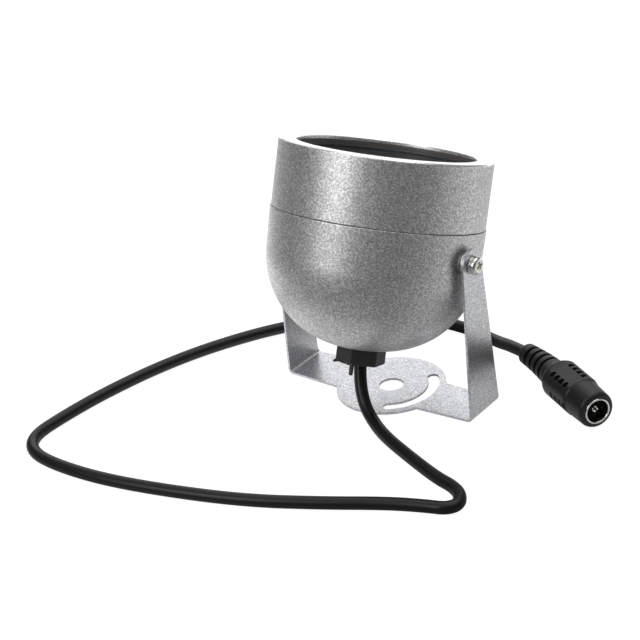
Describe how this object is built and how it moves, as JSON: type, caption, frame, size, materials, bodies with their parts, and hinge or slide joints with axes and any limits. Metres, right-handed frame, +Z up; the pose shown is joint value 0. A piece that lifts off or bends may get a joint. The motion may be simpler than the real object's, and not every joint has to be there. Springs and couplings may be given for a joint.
{
  "type": "infrared illuminator",
  "caption": "Round infrared illuminator for a camera: silver bowl and glass-fronted ring tilting in a U-bracket, with a black lead ending in a low-voltage socket.",
  "frame": {"origin": "centre of the mounting hole, on the underside of the bracket's disc", "axes": "+X from the left arm to the right arm along the hinge's axis, +Y to the side the head leans to at rest, +Z up, out of the mounting surface"},
  "size_m": [0.1618, 0.1327, 0.0914],
  "materials": {
    "bracket_paint": "satin",
    "housing_paint": "satin",
    "seal_rubber": "matte",
    "clear_glass": "gloss",
    "black_plastic": "satin",
    "board_green": "satin",
    "clear_epoxy": "gloss",
    "photocell_ceramic": "matte",
    "resistor_body": "satin",
    "capacitor_sleeve": "gloss",
    "terminal_white": "satin",
    "nickel_steel": "polished",
    "washer_nylon": "satin",
    "cable_jacket": "satin",
    "wire_red": "satin",
    "wire_black": "satin",
    "socket_plastic": "satin",
    "nickel_brass": "polished"
  },
  "bodies": {
    "bracket": {"u_bracket": "bracket_paint", "cable_run": "cable_jacket", "plug_shell": "socket_plastic", "plug_barrel": "nickel_brass", "plug_insulator": "black_plastic", "plug_pin": "nickel_brass"},
    "head": {"rear_housing": "housing_paint", "front_ring": "housing_paint", "glass_gasket": "seal_rubber", "front_glass": "clear_glass", "spacer_sleeve": "black_plastic", "led_board": "board_green", "board_retainer": "black_plastic", "housing_seal": "seal_rubber", "leds": "clear_epoxy", "photocell": "photocell_ceramic", "photocell_sleeve": "black_plastic", "board_resistors": "resistor_body", "smoothing_capacitor": "capacitor_sleeve", "switch_transistor": "black_plastic", "input_terminal": "terminal_white", "cable_gland": "black_plastic", "gland_seal": "seal_rubber", "gland_locknut": "black_plastic", "pivot_screws": "nickel_steel", "friction_washers": "washer_nylon", "spring_washers": "nickel_steel", "cable_stub": "cable_jacket", "wire_red": "wire_red", "wire_black": "wire_black"}
  },
  "joints": [
    {"name": "head_tilt", "type": "hinge", "parent": "bracket", "child": "head", "pos_m": [0, 0, 0.0515], "axis": [-1, 0, 0], "range_deg": [-112, 67]}
  ]
}
